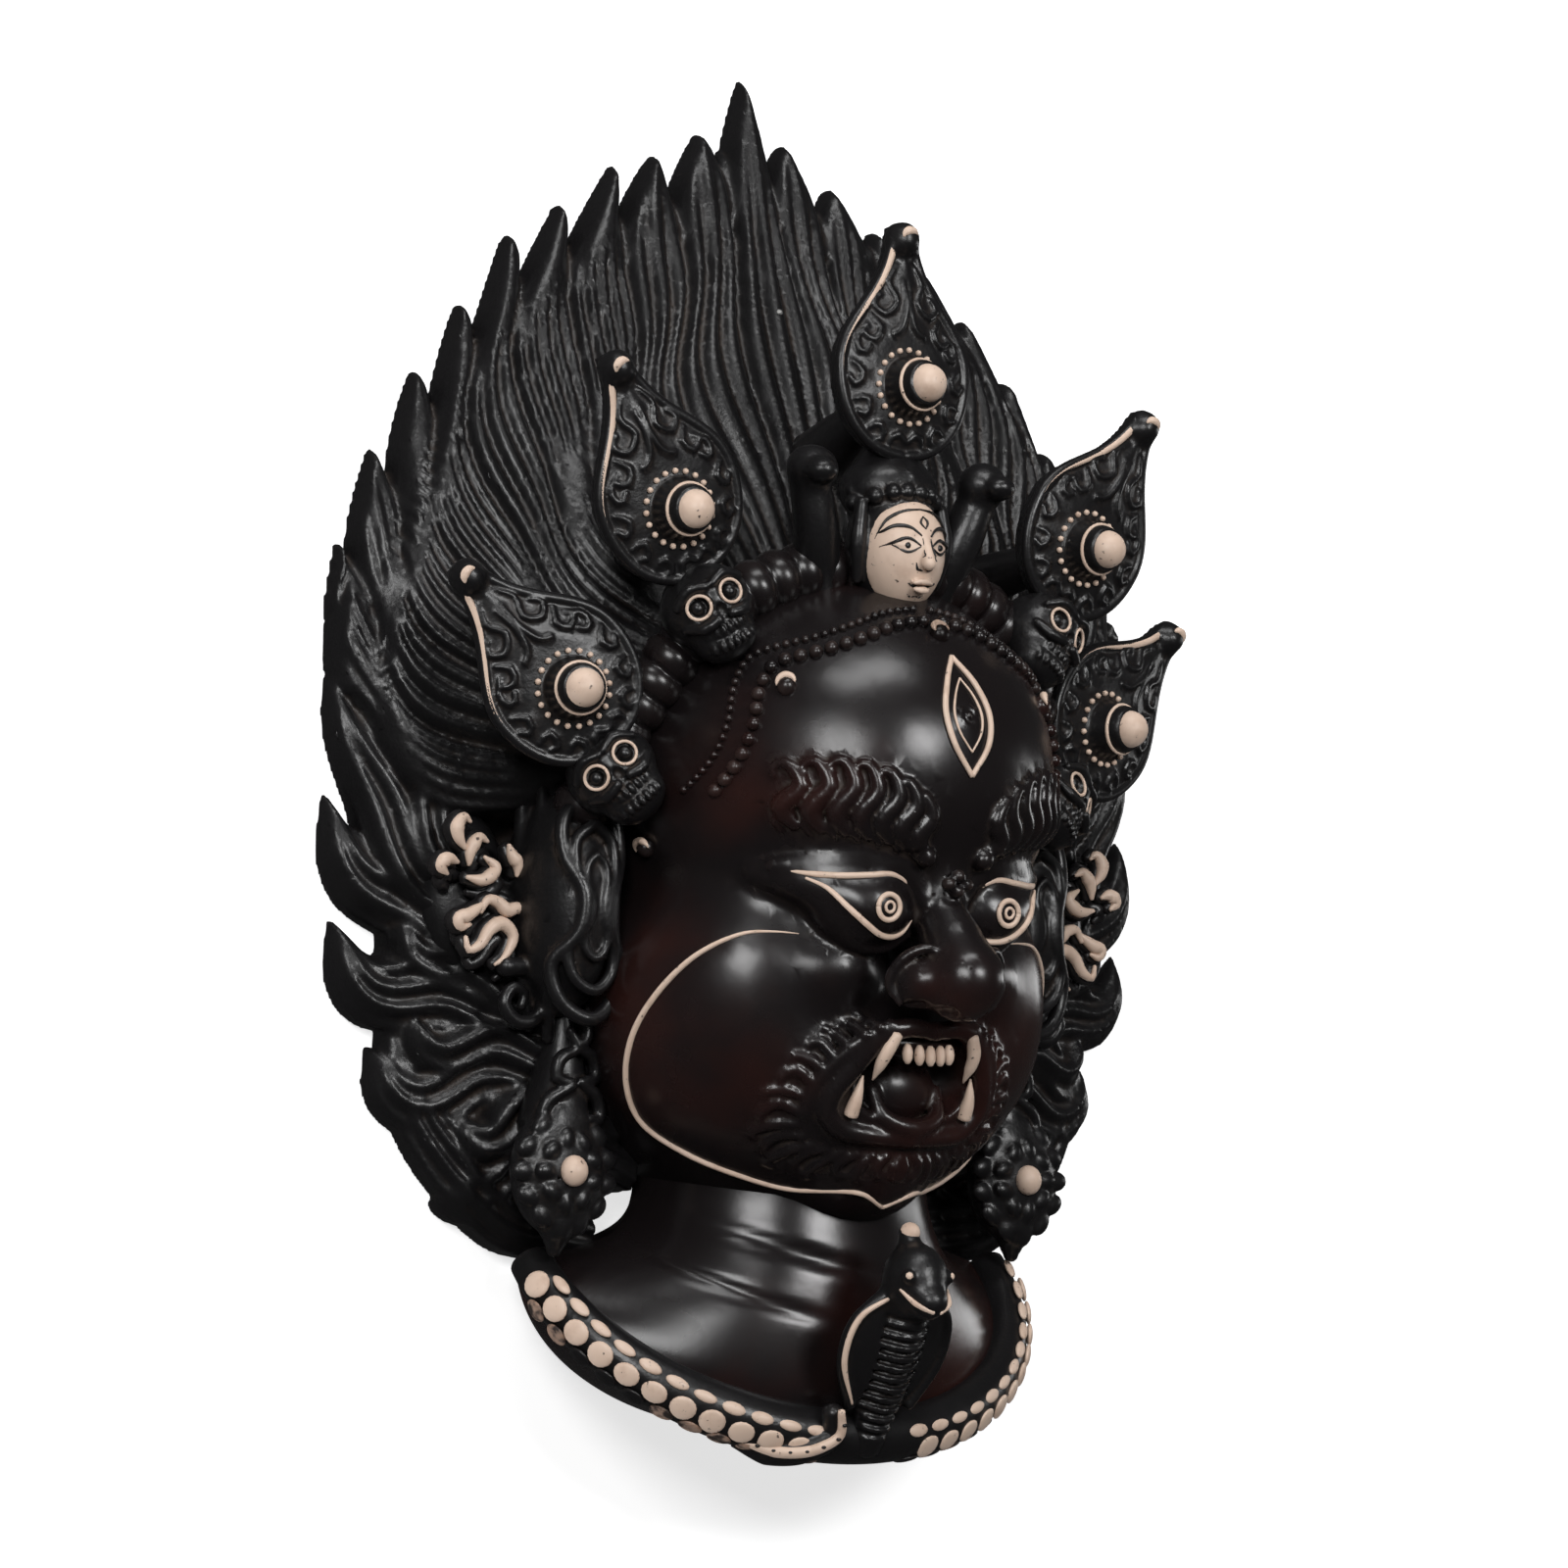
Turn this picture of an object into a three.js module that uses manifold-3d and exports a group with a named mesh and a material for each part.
// Wall mask of a wrathful guardian: one hollow resin casting and the steel screw of its hanger.
// Millimetres, lying on its flat back: +X is the viewer's right, +Y the top of the mask, +Z out of
// the face. The part is drawn about the middle of the face and centred on its own box at the end.
import * as THREE from 'three';
import { mergeVertices } from 'three/addons/utils/BufferGeometryUtils.js';
import Module from 'manifold-3d';

const wasm = await Module();
wasm.setup();

// Hair: flames stand along this half outline, from the top of the fan to the foot of the side locks.
const FAN_OUTLINE = [
  [0, 186], [38, 160], [70, 137], [100, 98], [118, 62],
  [123.5, 10], [122, -40], [111, -70], [97, -95], [66, -118],
];
const FLAMES_PER_SIDE = 14;
const FAN_FLAMES = 9;          // the flames that rise from the crown; the rest rise beside the ear
const FLAME_STEP = 14;         // distance between the first two tips, along the outline
const FLAME_STEP_GROWTH = 0.75;
const FLAME_TIP_HEIGHT = 8;
const FLAME_ROOT_HEIGHT = 42;
const SIDE_ROOT_HEIGHT = 22;
const FLAME_SPREAD = 0.78;     // half width of a flame's foot, in steps
const FLAME_STEPS = 4;
const HAIR_BED = 74;           // radius of the flat ground that the flames spring from

// Head: an egg for the skull, two swollen cheeks, a jaw and a chin.
const CRANIUM = { size: [60, 56, 76], at: [0, 0, 26] };
const CHEEK = { size: [36, 35, 42], at: [30, -64, 40] };
const JAW = { size: [54, 42, 62], at: [0, -72, 19] };
const CHIN = { size: [15, 12, 16], at: [0, -99, 53] };
const WALL = 9;                // thickness of the casting
const BROW_TUFTS = 4;
const BEARD_CURLS = 7;

// Crown: a middle leaf, an inner and an outer pair, each as stud place, lean and turns in degrees.
const LEAF_WIDTH = 38;
const LEAF_FOOT = 17;          // from the stud down to the round end
const LEAF_TIP = 41;           // from the stud up to the point
const LEAF_THICKNESS = 5;
const STUD_RADIUS = 7.5;
const STUD_HEIGHT = 15;
const LEAVES = [
  { at: [0, 95, 71], spread: 0, outward: 0, forward: 0 },
  { at: [62.5, 61, 62], spread: 29, outward: 8, forward: 8 },
  { at: [81, 17, 45], spread: 46, outward: 18, forward: 6 },
];
const SKULLS = [
  { at: [51, 37, 62], spread: 30, outward: 18 },
  { at: [67, -3, 45], spread: 42, outward: 32 },
];
const SKULL_RADIUS = 11.5;
const BAND_RADIUS = 8;

// Neck, chest and the snake that lies round them as a collar.
const NECK_RADIUS = 41;
const NECK_Z = 14;
const COLLAR = { width: 70, shoulderY: -122, drop: 43, shoulderZ: 13, rise: 40, radius: 7 };

// Hanger screw, from the recess in the back through the hair.
const SCREW_Y = 122;
const SCREW_RADIUS = 1.5;
const SCREW_HEAD_RADIUS = 3.6;
const SCREW_HEAD_HEIGHT = 2.4;
const SCREW_TIP_Z = 21;
const RECESS_RADIUS = 6;
const RECESS_DEPTH = 3.6;
const GAP = 0.3;

const SIDES = [-1, 1];
const radians = THREE.MathUtils.degToRad;
const mix = THREE.MathUtils.lerp;

// A closed solid from a three.js geometry, turned outside out if it was mirrored.
function solid(geometry) {
  const bare = new THREE.BufferGeometry();
  bare.setAttribute('position', geometry.getAttribute('position').clone());
  if (geometry.index) bare.setIndex(geometry.index.clone());
  const merged = mergeVertices(bare, 1e-3);
  const place = merged.getAttribute('position');
  const corners = [];
  let volume = 0;
  const a = new THREE.Vector3();
  const b = new THREE.Vector3();
  const c = new THREE.Vector3();
  for (let i = 0; i < merged.index.count; i += 3) {
    const [p, q, r] = [0, 1, 2].map((k) => merged.index.getX(i + k));
    if (p === q || q === r || r === p) continue;
    corners.push([p, q, r]);
    a.fromBufferAttribute(place, p);
    b.fromBufferAttribute(place, q);
    c.fromBufferAttribute(place, r);
    volume += a.dot(b.cross(c));
  }
  const order = volume < 0 ? corners.map(([p, q, r]) => [p, r, q]) : corners;
  return new wasm.Manifold(new wasm.Mesh({
    numProp: 3,
    vertProperties: new Float32Array(place.array),
    triVerts: new Uint32Array(order.flat()),
  }));
}

function join(solids) {
  let pieces = solids;
  while (pieces.length > 1) {
    const next = [];
    for (let i = 0; i < pieces.length; i += 2) {
      next.push(i + 1 < pieces.length ? pieces[i].add(pieces[i + 1]) : pieces[i]);
    }
    pieces = next;
  }
  return pieces[0];
}

function meshOf(body, material, name) {
  const data = body.getMesh();
  const geometry = new THREE.BufferGeometry();
  const places = new Float32Array(data.numVert * 3);
  for (let i = 0; i < data.numVert; i += 1) {
    for (let k = 0; k < 3; k += 1) places[3 * i + k] = data.vertProperties[i * data.numProp + k];
  }
  geometry.setAttribute('position', new THREE.BufferAttribute(places, 3));
  geometry.setIndex(new THREE.BufferAttribute(new Uint32Array(data.triVerts), 1));
  geometry.computeVertexNormals();
  const mesh = new THREE.Mesh(geometry, material);
  mesh.name = name;
  return mesh;
}

// A skin over rings of equal count, closed by a fan at both ends.
function loft(rings) {
  const count = rings[0].length;
  const places = rings.flat().flatMap((p) => [p.x, p.y, p.z]);
  const faces = [];
  for (let i = 0; i + 1 < rings.length; i += 1) {
    for (let j = 0; j < count; j += 1) {
      const k = (j + 1) % count;
      const [a, b, c, d] = [i * count + j, i * count + k, (i + 1) * count + k, (i + 1) * count + j];
      faces.push(a, b, c, a, c, d);
    }
  }
  const last = (rings.length - 1) * count;
  for (let j = 1; j + 1 < count; j += 1) {
    faces.push(0, j + 1, j, last, last + j, last + j + 1);
  }
  const geometry = new THREE.BufferGeometry();
  geometry.setAttribute('position', new THREE.BufferAttribute(new Float32Array(places), 3));
  geometry.setIndex(faces);
  return geometry;
}

function ball(size, at, around = 10, up = 7) {
  const geometry = new THREE.SphereGeometry(1, around, up);
  geometry.scale(...size);
  geometry.translate(...at);
  return solid(geometry);
}

function curve(points) {
  return new THREE.CatmullRomCurve3(points.map((p) => new THREE.Vector3(...p)), false, 'centripetal');
}

// A round rod along a curve whose radius follows taper(s), s from 0 to 1.
function rod(points, taper, steps = 6, around = 5) {
  const path = curve(points);
  const frames = path.computeFrenetFrames(steps, false);
  const rings = [];
  for (let i = 0; i <= steps; i += 1) {
    const middle = path.getPointAt(i / steps);
    const radius = taper(i / steps);
    const ring = [];
    for (let j = 0; j < around; j += 1) {
      const turn = (2 * Math.PI * j) / around;
      ring.push(middle.clone()
        .addScaledVector(frames.normals[i], radius * Math.cos(turn))
        .addScaledVector(frames.binormals[i], radius * Math.sin(turn)));
    }
    rings.push(ring);
  }
  return solid(loft(rings));
}

const tapered = (radius) => (s) => radius * (0.35 + 0.65 * Math.sin(Math.PI * (0.25 + 0.7 * s)));
const even = (radius) => () => radius;
const onSide = (side, points) => points.map(([x, y, z]) => [side * x, y, z]);

// Flames of hair: each is a ridge that stands on the flat back and narrows to its tip.
const outline = curve(FAN_OUTLINE.map(([x, y]) => [x, y, 0]));
const outlineLength = outline.getLength();

function flameTip(k) {
  const along = FLAME_STEP * k + FLAME_STEP_GROWTH * k * k;
  const tip = outline.getPointAt(Math.min(along / outlineLength, 1));
  return [tip.x, tip.y];
}

function flameRoot(k) {
  if (k <= FAN_FLAMES) {
    const turn = radians(100 * (k / FAN_FLAMES));
    return [62 * Math.sin(turn), 2 + 50 * Math.cos(turn)];
  }
  const down = (k - FAN_FLAMES) / (FLAMES_PER_SIDE - FAN_FLAMES);
  return [mix(72, 54, down), mix(-30, -106, down)];
}

function flame(side, k) {
  const [rootX, rootY] = flameRoot(k);
  const [tipX, tipY] = flameTip(k);
  const reachX = tipX - rootX;
  const reachY = tipY - rootY;
  const length = Math.hypot(reachX, reachY);
  const across = [-reachY / length, reachX / length];
  const low = k > FAN_FLAMES;
  const spacing = FLAME_STEP + 2 * FLAME_STEP_GROWTH * k;
  const bend = (low ? 0.04 : 0.1) * length * Math.min(k / 5, 1);
  const track = [0, 0.35, 0.75, 1].map((s, i) => {
    const sway = [0, -bend, -0.5 * bend, 0][i];
    return [side * (rootX + reachX * s + across[0] * sway), rootY + reachY * s + across[1] * sway, 0];
  });
  const path = curve(track);
  const rise = low ? SIDE_ROOT_HEIGHT : FLAME_ROOT_HEIGHT;
  const rings = [];
  const steps = low ? FLAME_STEPS - 1 : FLAME_STEPS;
  for (let i = 0; i <= steps; i += 1) {
    const s = i / steps;
    const middle = path.getPointAt(s);
    const ahead = path.getTangentAt(s);
    const room = mix(FLAME_STEP - 1, spacing, Math.min(1.6 * s, 1));
    const width = Math.max(FLAME_SPREAD * room * (1 - s ** 2.4), 0.5);
    const crest = FLAME_TIP_HEIGHT + (rise - FLAME_TIP_HEIGHT) * (1 - s) ** 1.7;
    const section = [[-width, -1], [width, -1], [0, crest]];
    rings.push(section.map(([aside, z]) => new THREE.Vector3(
      middle.x - ahead.y * aside,
      middle.y + ahead.x * aside,
      z,
    )));
  }
  return solid(loft(rings));
}

function hair() {
  const bed = new THREE.CylinderGeometry(HAIR_BED, HAIR_BED, 9, 12);
  bed.rotateX(Math.PI / 2);
  bed.translate(0, 6, 3.5);
  const locks = [flame(1, 0), solid(bed)];
  for (const side of SIDES) {
    for (let k = 1; k <= FLAMES_PER_SIDE; k += 1) locks.push(flame(side, k));
  }
  return locks;
}

// Face.
const HEAD_EGGS = [
  CRANIUM, JAW, CHIN, ...SIDES.map((side) => ({ ...CHEEK, at: [side * CHEEK.at[0], CHEEK.at[1], CHEEK.at[2]] })),
];

function faceHeight(x, y) {
  return Math.max(...HEAD_EGGS.map(({ size, at }) => {
    const left = 1 - ((x - at[0]) / size[0]) ** 2 - ((y - at[1]) / size[1]) ** 2;
    return left > 0 ? at[2] + size[2] * Math.sqrt(left) : 0;
  }));
}

const onFace = (side, lift, points) => points.map(([x, y]) => [side * x, y, faceHeight(x, y) + lift]);

function head() {
  const parts = [ball(CRANIUM.size, CRANIUM.at, 16, 10), ball(JAW.size, JAW.at, 12, 7)];
  parts.push(ball(CHIN.size, CHIN.at, 7, 5));
  for (const side of SIDES) {
    const [x, y, z] = CHEEK.at;
    parts.push(ball(CHEEK.size, [side * x, y, z], 10, 8));
    parts.push(rod(onFace(side, 0, [
      [37, -42], [47, -43], [56, -49], [61, -58], [61.5, -68], [57, -80], [49, -90], [38, -96], [24, -102], [8, -107],
    ]), even(2.8), 6, 3));
  }
  return parts;
}

function brow(side) {
  const ridge = curve(onFace(side, 0, [[8, -23], [18, -19], [30, -13], [43, -6]]));
  const tufts = [ball([4.5, 4.5, 4.5], [side * 8.7, -23, 96], 5, 4)];
  for (let i = 0; i < BROW_TUFTS; i += 1) {
    const base = ridge.getPointAt((i + 0.5) / BROW_TUFTS);
    tufts.push(rod([
      [base.x - side * 4, base.y - 4, base.z + 0.5],
      [base.x, base.y + 1, base.z + 1.5],
      [base.x + side * 4.5, base.y + 5, base.z - 0.5],
    ], tapered(6), 2, 3));
  }
  return tufts;
}

function eye(side) {
  const upper = onSide(side, [[8, -37, 91], [14, -30, 93], [24, -27.5, 89], [35.5, -28, 80.5]]);
  const lower = onSide(side, [[8, -37, 91], [14, -44, 88], [25, -41.5, 84], [35.5, -28, 80.5]]);
  return [
    ball([15, 8.5, 12], [side * 20, -36, 79], 7, 5),
    rod(upper, tapered(2.8), 4, 3),
    rod(lower, tapered(2.4), 4, 3),
  ];
}

function thirdEye() {
  const parts = [ball([7, 15, 7], [0, 11, 92], 6, 5)];
  for (const side of SIDES) {
    parts.push(rod(onSide(side, [[0.3, 26, 91], [6.5, 16, 96], [6.5, 6, 99], [0.3, -4.5, 102]]), even(2.2), 3, 3));
  }
  return parts;
}

function nose() {
  const parts = [
    rod([[0, -26, 88], [0, -38, 91], [0, -50, 96], [0, -57, 97]], (s) => 6 + 4 * s, 1, 5),
    ball([10, 9, 11], [0, -55, 97], 8, 5),
  ];
  for (const side of SIDES) parts.push(ball([8, 7, 9], [side * 13, -54, 88], 5, 4));
  return parts;
}

function mouthHollow() {
  return ball([18, 12.5, 15], [0, -77, 86], 10, 6);
}

function mouth() {
  const parts = [
    ball([12, 9, 8], [0, -83, 71], 7, 5),
    rod([[-9, -68.5, 78.5], [0, -68, 80], [9, -68.5, 78.5]], even(3.2), 2, 4),
  ];
  for (const side of SIDES) {
    parts.push(rod(onSide(side, [
      [0, -64.5, 84], [11, -64, 82], [21, -73, 75], [21, -84, 71], [11, -90.5, 72], [0, -91.5, 74],
    ]), even(3), 5, 4));
    parts.push(rod(onSide(side, [[10.5, -64, 83], [12.5, -69, 83], [16.5, -76, 81]]), (s) => 3.2 * (1.05 - s), 2, 4));
    parts.push(rod(onSide(side, [[17, -86, 71], [16.3, -80, 75], [15.5, -75, 76]]), (s) => 2.8 * (1.05 - s), 1, 4));
  }
  return parts;
}

// Beard: curls that follow one another round the mouth from the nostril to the chin.
function beard(side) {
  const line = curve(onFace(side, -0.5, [[14, -60], [25, -66], [33, -76], [33, -87], [23, -95], [8, -100]]));
  const curls = [];
  for (let i = 0; i < BEARD_CURLS; i += 1) {
    const at = line.getPointAt((i + 0.5) / BEARD_CURLS);
    const ahead = line.getTangentAt((i + 0.5) / BEARD_CURLS);
    const out = [side * Math.abs(ahead.y), -Math.abs(ahead.x)];
    curls.push(rod([
      [at.x - ahead.x * 3 - out[0] * 3, at.y - ahead.y * 3 - out[1] * 3, at.z + 1],
      [at.x, at.y, at.z + 2],
      [at.x + ahead.x * 4 + out[0] * 4, at.y + ahead.y * 4 + out[1] * 4, at.z - 1],
    ], tapered(5), 2, 3));
  }
  return curls;
}

// Crown pieces are drawn upright at the origin, facing +Z, and then leaned into place.
function lean(side, { spread, outward, forward = 0 }) {
  const turn = new THREE.Matrix4().makeRotationY(side * radians(outward));
  turn.multiply(new THREE.Matrix4().makeRotationZ(-side * radians(spread)));
  return turn.multiply(new THREE.Matrix4().makeRotationX(radians(forward)));
}

function placed(geometry, side, spot) {
  const [x, y, z] = spot.at;
  geometry.applyMatrix4(lean(side, spot));
  geometry.translate(side * x, y, z);
  return solid(geometry);
}

function leafRing(scale, height) {
  const half = 0.5 * LEAF_WIDTH * scale;
  const foot = -LEAF_FOOT * scale;
  const tip = LEAF_TIP * scale;
  const shape = new THREE.Shape();
  shape.moveTo(0, foot);
  shape.bezierCurveTo(0.6 * half, foot, half, 0.5 * foot, half, 0.1 * tip);
  shape.bezierCurveTo(half, 0.42 * tip, 0.28 * half, 0.55 * tip, 0, tip);
  shape.bezierCurveTo(-0.28 * half, 0.55 * tip, -half, 0.42 * tip, -half, 0.1 * tip);
  shape.bezierCurveTo(-half, 0.5 * foot, -0.6 * half, foot, 0, foot);
  return shape.getPoints(3).slice(0, -1).map(({ x, y }) => new THREE.Vector3(x, y, height));
}

function leaf(side, spot) {
  const plate = loft([leafRing(0.96, 2 - LEAF_THICKNESS), leafRing(1, 2), leafRing(0.5, 7)]);
  const stud = new THREE.LatheGeometry([
    [0, 3], [STUD_RADIUS + 2, 3], [STUD_RADIUS - 1.5, 11], [0, STUD_HEIGHT + 3],
  ].map(([r, h]) => new THREE.Vector2(r, h)), 7);
  stud.rotateX(Math.PI / 2);
  const [x, y, z] = spot.at;
  const web = rod([
    [side * x, y - 4, z - 1],
    [side * x * 0.88, y * 0.92 - 4, 4],
  ], (s) => 11 + 6 * s, 1, 4);
  return [placed(plate, side, spot), placed(stud, side, spot), web];
}

function skull(side, spot) {
  const bone = (geometry, size, at) => {
    geometry.scale(...size);
    geometry.translate(...at);
    return placed(geometry, side, spot);
  };
  const r = SKULL_RADIUS;
  const dome = bone(new THREE.SphereGeometry(1, 7, 5), [r, r, r], [0, 2, 0]);
  const jaw = bone(new THREE.SphereGeometry(1, 5, 3), [0.62 * r, 0.6 * r, 0.8 * r], [0, -0.75 * r, 1]);
  const socket = (x) => bone(new THREE.OctahedronGeometry(1, 0), [4.2, 4.2, 7], [x, 0.5, r]);
  return dome.add(jaw).subtract(socket(4.4)).subtract(socket(-4.4));
}

function smallHead() {
  const parts = [
    ball([10.5, 13.5, 11], [0, 53, 70], 8, 6),
    ball([10.5, 8, 9], [0, 67, 67], 7, 4),
    ball([6, 6, 6], [0, 75, 67], 6, 4),
  ];
  for (const side of SIDES) {
    parts.push(rod(onSide(side, [[14, 44, 62], [19, 56, 68], [23.5, 70, 70]]), (s) => 5 - s, 1, 5));
    parts.push(ball([5, 4.5, 5], [side * 23.7, 72, 71], 5, 3));
  }
  return parts;
}

// The padded roll of the crown, solid down to the back so that it carries the skulls and leaves.
function crownWall(side) {
  const path = curve(onSide(side, [
    [-2, 50, 62], [24, 48, 61], [46, 36, 56], [60, 16, 47], [68, -6, 36], [70, -26, 24],
  ]));
  const rings = [];
  for (let i = 0; i <= 6; i += 1) {
    const { x, y, z } = path.getPointAt(i / 6);
    const ahead = path.getTangentAt(i / 6).setZ(0).normalize();
    rings.push([[-1, -1], [1, -1], [1, z - 5], [0, z + 2], [-1, z - 5]].map(([aside, height]) => new THREE.Vector3(
      x - ahead.y * aside * BAND_RADIUS,
      y + ahead.x * aside * BAND_RADIUS,
      height,
    )));
  }
  return solid(loft(rings));
}

function crown() {
  const parts = [...smallHead(), ...leaf(1, LEAVES[0])];
  for (const side of SIDES) {
    for (const spot of LEAVES.slice(1)) parts.push(...leaf(side, spot));
    for (const spot of SKULLS) parts.push(skull(side, spot));
    parts.push(crownWall(side));
    parts.push(rod(onFace(side, 0, [[2, 36], [24, 29], [38, 24], [47, 10], [55, -8]]), even(3.6), 4, 3));
  }
  return parts;
}

// Ears, the scrolls behind them and the rosette earrings.
function earSide(side) {
  const shell = ball([10, 24, 20], [side * 66, -34, 14], 7, 4);
  const helix = rod(onSide(side, [
    [60, -54, 30], [68, -50, 32], [74, -34, 32], [70, -17, 33], [62, -14, 36],
  ]), even(3.4), 4, 3);
  const scrolls = [[94, -18, 9], [92, -39, 10]].map(([x, y, r]) => {
    const ring = [];
    for (let i = 0; i <= 6; i += 1) {
      const turn = radians(200 - 60 * i);
      const reach = r * (1 - 0.08 * i);
      ring.push([side * (x + reach * Math.cos(turn)), y + reach * Math.sin(turn), 21]);
    }
    return rod(ring, even(3.4), 6, 3);
  });
  const bed = ball([22, 34, 20], [side * 86, -36, 2], 8, 5);
  const rosette = new THREE.LatheGeometry([
    [0, -30], [13, -30], [15.5, -5], [8, -1], [5.5, 2], [0, 5],
  ].map(([r, h]) => new THREE.Vector2(r, h)), 10);
  rosette.rotateX(Math.PI / 2);
  rosette.translate(side * 70, -101, 27);
  const stem = rod(onSide(side, [[64, -55, 24], [67, -70, 26], [69, -88, 24]]), (s) => 7 + 2 * s, 1, 5);
  return [shell, helix, ...scrolls, bed, solid(rosette), stem];
}

// Neck and chest: half rings from the jaw to the collar, closed through the back.
function bustRing(width, shoulderY, drop, shoulderZ, rise) {
  const ring = [];
  for (let i = 0; i <= 8; i += 1) {
    const turn = radians(-90 + (180 * i) / 8);
    ring.push(new THREE.Vector3(
      width * Math.sin(turn),
      shoulderY - drop * Math.cos(turn),
      shoulderZ + rise * Math.cos(turn),
    ));
  }
  ring.push(new THREE.Vector3(width, shoulderY, -1), new THREE.Vector3(-width, shoulderY, -1));
  return ring;
}

function collarPoint(turn, outset = 0) {
  return [
    (COLLAR.width + outset) * Math.sin(turn),
    COLLAR.shoulderY - (COLLAR.drop + outset) * Math.cos(turn),
    COLLAR.shoulderZ + COLLAR.rise * Math.cos(turn),
  ];
}

function bust() {
  const chest = loft([
    bustRing(NECK_RADIUS, -84, 0, NECK_Z, NECK_RADIUS),
    bustRing(NECK_RADIUS, -106, 4, NECK_Z, NECK_RADIUS),
    bustRing(NECK_RADIUS + 4, -113, 8, NECK_Z, NECK_RADIUS + 2),
    bustRing(57, -118, 25, NECK_Z, 44),
    bustRing(COLLAR.width, COLLAR.shoulderY, COLLAR.drop, COLLAR.shoulderZ, COLLAR.rise),
    bustRing(COLLAR.width - 6, COLLAR.shoulderY - 3, COLLAR.drop - 8, -0.9, 0.1),
  ]);
  const body = [];
  for (let i = 0; i <= 12; i += 1) body.push(collarPoint(radians(-90 + 15 * i)));
  return [solid(chest), rod(body, even(COLLAR.radius), 11, 5)];
}

function snake() {
  return [
    rod([[0, -164, 56], [0, -152, 64], [0, -140, 71], [0, -130, 76]], (s) => 6 + 2 * s, 1, 5),
    ball([13, 16, 6], [0, -144, 68], 8, 5),
    ball([8, 9, 9], [0, -127, 77], 6, 4),
    ball([4.5, 5, 6], [0, -132.5, 82], 5, 3),
    ball([4.5, 5, 5], [0, -117, 74], 5, 3),
    ball([9, 5, 6], [-24, -166, 57], 5, 3),
  ];
}

// The hollow behind the face and chest, open to the flat back.
function hollow() {
  return join([
    ball(CRANIUM.size.map((r) => r - WALL), [0, 0, 22], 10, 6),
    ball([44, 42, 48], [0, -62, 12], 9, 6),
    ball([40, 36, 36], [0, -116, 2], 9, 5),
  ]);
}

function screwGeometry(grow) {
  const profile = [
    [0, RECESS_DEPTH - SCREW_HEAD_HEIGHT - 0.6 - grow],
    [SCREW_HEAD_RADIUS + grow, RECESS_DEPTH - SCREW_HEAD_HEIGHT - 0.6 - grow],
    [SCREW_HEAD_RADIUS + grow, RECESS_DEPTH - GAP - grow],
    [SCREW_RADIUS + grow, RECESS_DEPTH - GAP],
    [SCREW_RADIUS + grow, SCREW_TIP_Z - 1.2],
    [0.7 + grow, SCREW_TIP_Z + grow],
    [0, SCREW_TIP_Z + grow],
  ];
  const geometry = new THREE.LatheGeometry(profile.map(([r, h]) => new THREE.Vector2(r, h)), 16);
  geometry.rotateX(Math.PI / 2);
  geometry.translate(0, SCREW_Y, 0);
  return geometry;
}

function screwHole() {
  const shank = new THREE.CylinderGeometry(SCREW_RADIUS + GAP, SCREW_RADIUS + GAP, 60, 16);
  shank.rotateX(Math.PI / 2);
  shank.translate(0, SCREW_Y, 20);
  const recess = new THREE.CylinderGeometry(RECESS_RADIUS, RECESS_RADIUS, RECESS_DEPTH + 5, 16);
  recess.rotateX(Math.PI / 2);
  recess.translate(0, SCREW_Y, (RECESS_DEPTH - 5) / 2);
  return solid(shank).add(solid(recess));
}

const shell = join([...head(), ...hair()]).subtract(mouthHollow());
const relief = [...thirdEye(), ...nose(), ...mouth(), ...crown(), ...bust(), ...snake()];
for (const side of SIDES) relief.push(...brow(side), ...eye(side), ...beard(side), ...earSide(side));
const frontHalf = new THREE.BoxGeometry(400, 500, 300);
frontHalf.translate(0, 0, 150);
const casting = join([shell, ...relief])
  .intersect(solid(frontHalf))
  .subtract(hollow())
  .subtract(screwHole());

const darkResin = new THREE.MeshStandardMaterial({ color: 0x1d1a1b, roughness: 0.35, metalness: 0 });
const hangerSteel = new THREE.MeshStandardMaterial({ color: 0x8a8a88, roughness: 0.4, metalness: 1 });
const mask = meshOf(casting, darkResin, 'mask');
const screw = meshOf(solid(screwGeometry(0)), hangerSteel, 'hanger_screw');

// Centre the part on the middle of its own footprint.
mask.geometry.computeBoundingBox();
const middle = mask.geometry.boundingBox.getCenter(new THREE.Vector3());
for (const mesh of [mask, screw]) mesh.geometry.translate(-middle.x, -middle.y, 0);

const group = new THREE.Group();
group.name = 'guardian_mask';
group.add(mask, screw);
export default group;
